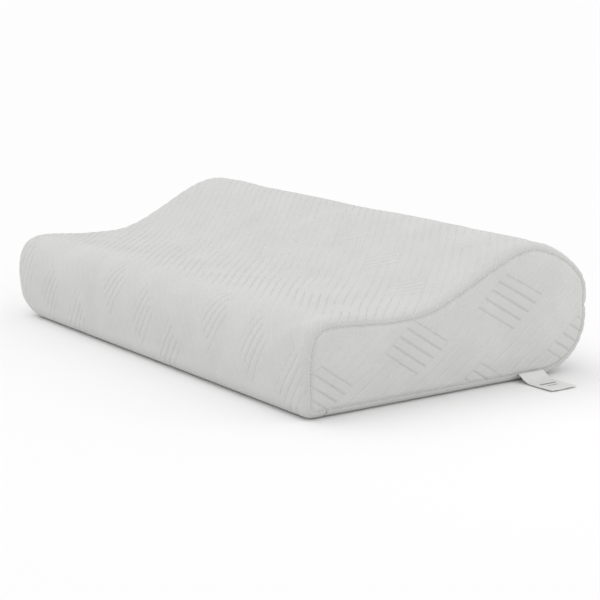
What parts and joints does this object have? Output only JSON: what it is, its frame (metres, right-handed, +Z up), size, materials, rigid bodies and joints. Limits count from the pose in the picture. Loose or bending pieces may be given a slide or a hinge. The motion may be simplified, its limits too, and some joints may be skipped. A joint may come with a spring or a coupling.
{
  "type": "contour bed pillow",
  "caption": "Contour bed pillow: foam core with a high and a low lobe in a liner, inside a zipped quilted knit cover with a side label.",
  "frame": {"origin": "on the resting plane, under the middle of the pillow's length and depth", "axes": "+X along the pillow towards the end with the side label, -Y the low front lobe, +Y the high back lobe with the zip, +Z up"},
  "size_m": [0.5418, 0.3051, 0.12],
  "materials": {
    "knit_cover": "matte",
    "thread": "satin",
    "foam": "matte",
    "liner": "matte",
    "zip_tape": "matte",
    "zip_coil": "satin",
    "zip_metal": "satin",
    "label": "satin",
    "care_label": "satin"
  },
  "bodies": {
    "root": {"foam_core": "foam", "liner_wrap": "liner", "liner_end_left": "liner", "liner_end_right": "liner", "cover_top": "knit_cover", "cover_bottom": "knit_cover", "cover_end_left": "knit_cover", "cover_end_right": "knit_cover", "end_seam_thread_left": "thread", "end_seam_thread_right": "thread", "front_seam_thread": "thread", "zip_tape_upper": "zip_tape", "zip_tape_lower": "zip_tape", "zip_coil_upper": "zip_coil", "zip_coil_lower": "zip_coil", "zip_thread_upper": "thread", "zip_thread_lower": "thread", "zip_top_stops": "zip_metal", "zip_bottom_stop": "zip_metal", "side_label_tail": "label", "care_label": "care_label"},
    "slider": {"zip_slider": "zip_metal"},
    "pull": {"zip_pull": "zip_metal"},
    "side_label_flap": {"side_label": "label"}
  },
  "joints": [
    {"name": "zip_slide", "type": "slide", "parent": "root", "child": "slider", "axis": [-1, 0, 0], "range_m": [0, 0.407]},
    {"name": "pull_hinge", "type": "hinge", "parent": "slider", "child": "pull", "pos_m": [0.2035, 0.1531, 0.057], "axis": [0, 0, -1], "range_deg": [0, 175]},
    {"name": "label_hinge", "type": "hinge", "parent": "root", "child": "side_label_flap", "pos_m": [0.2508, 0.0835, 0.007], "axis": [0, -1, 0], "range_deg": [0, 85]}
  ]
}
